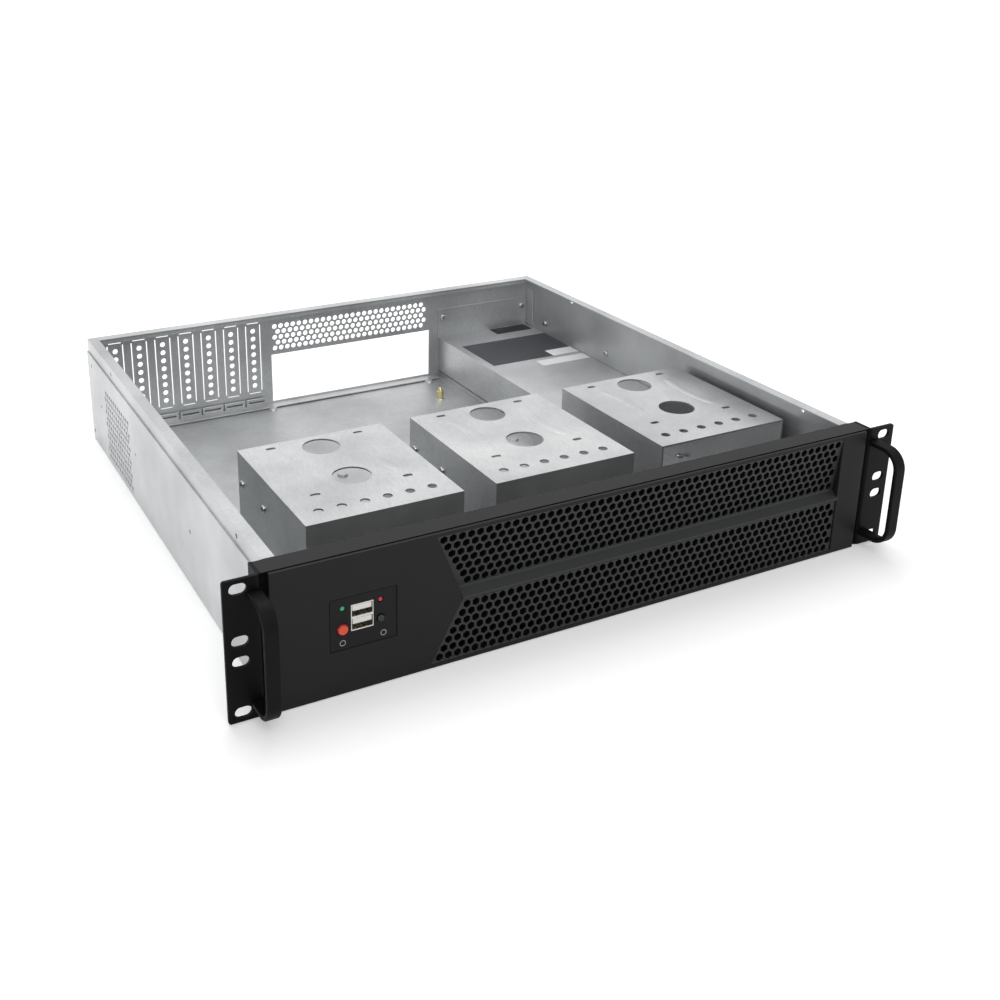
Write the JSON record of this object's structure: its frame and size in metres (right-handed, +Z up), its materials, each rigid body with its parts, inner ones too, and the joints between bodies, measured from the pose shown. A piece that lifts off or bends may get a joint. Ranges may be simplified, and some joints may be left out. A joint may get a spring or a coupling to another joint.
{
  "type": "rackmount server case",
  "caption": "Open rackmount server case of folded sheet steel with a mesh front, rack ears with handles, drive cages and a power supply.",
  "frame": {"origin": "underside, middle of the case's width, in the plane of the rack ears' front faces", "axes": "+X to the case's right seen from the front, +Y to the rear, +Z up"},
  "size_m": [0.4826, 0.4566, 0.0881],
  "materials": {
    "galvanised_sheet": "galvanised, satin",
    "black_paint": "matt powder coat",
    "handle_paint": "satin powder coat",
    "panel_plastic": "matt",
    "board_laminate": "lacquered",
    "socket_shell": "tinned, bright",
    "socket_tongue": "smooth",
    "switch_plastic": "smooth",
    "red_button": "polished",
    "black_button": "polished",
    "green_lamp": "clear tinted",
    "red_lamp": "clear tinted",
    "cage_sheet": "galvanised, satin",
    "supply_sheet": "galvanised, grey",
    "fan_plastic": "moulded",
    "inlet_plastic": "moulded",
    "component_body": "mixed",
    "label_film": "satin film",
    "strip_film": "satin film",
    "brass": "machined",
    "screw_zinc": "zinc plated",
    "screw_black": "black oxide"
  },
  "bodies": {
    "case": {"chassis_pan": "galvanised_sheet", "rear_panel": "galvanised_sheet", "front_frame": "black_paint", "front_bezel": "black_paint", "rack_ear_left": "black_paint", "rack_ear_right": "black_paint", "handle_left": "handle_paint", "handle_right": "handle_paint", "control_plate": "panel_plastic", "control_board": "board_laminate", "usb_shell": "socket_shell", "usb_tongues": "socket_tongue", "control_switches": "switch_plastic", "power_led": "green_lamp", "drive_led": "red_lamp", "drive_cage_1": "cage_sheet", "drive_cage_2": "cage_sheet", "drive_cage_3": "cage_sheet", "psu_case": "supply_sheet", "psu_cover": "supply_sheet", "psu_mount_plate": "galvanised_sheet", "psu_fan_frame": "fan_plastic", "psu_inlet": "inlet_plastic", "psu_board": "board_laminate", "psu_parts": "component_body", "psu_label": "label_film", "psu_strip": "strip_film", "standoff": "brass", "cage_side_screws": "screw_zinc", "cage_foot_screws": "screw_zinc", "ear_screws": "screw_black", "frame_screws": "screw_zinc", "wall_screws": "screw_zinc", "psu_plate_screws": "screw_zinc", "psu_screws": "screw_black"},
    "power": {"power_button": "red_button"},
    "reset": {"reset_button": "black_button"},
    "fan": {"psu_fan_rotor": "fan_plastic"}
  },
  "joints": [
    {"name": "power_press", "type": "slide", "parent": "case", "child": "power", "axis": [0, 1, 0], "range_m": [0, 0.0008], "stiffness_N_per_m": 300, "springref_m": -0.0004},
    {"name": "reset_press", "type": "slide", "parent": "case", "child": "reset", "axis": [0, 1, 0], "range_m": [0, 0.0008], "stiffness_N_per_m": 300, "springref_m": -0.0004},
    {"name": "fan_spin", "type": "hinge", "parent": "case", "child": "fan", "pos_m": [0.19, 0.418, 0.021], "axis": [0, 1, 0], "continuous": true}
  ]
}
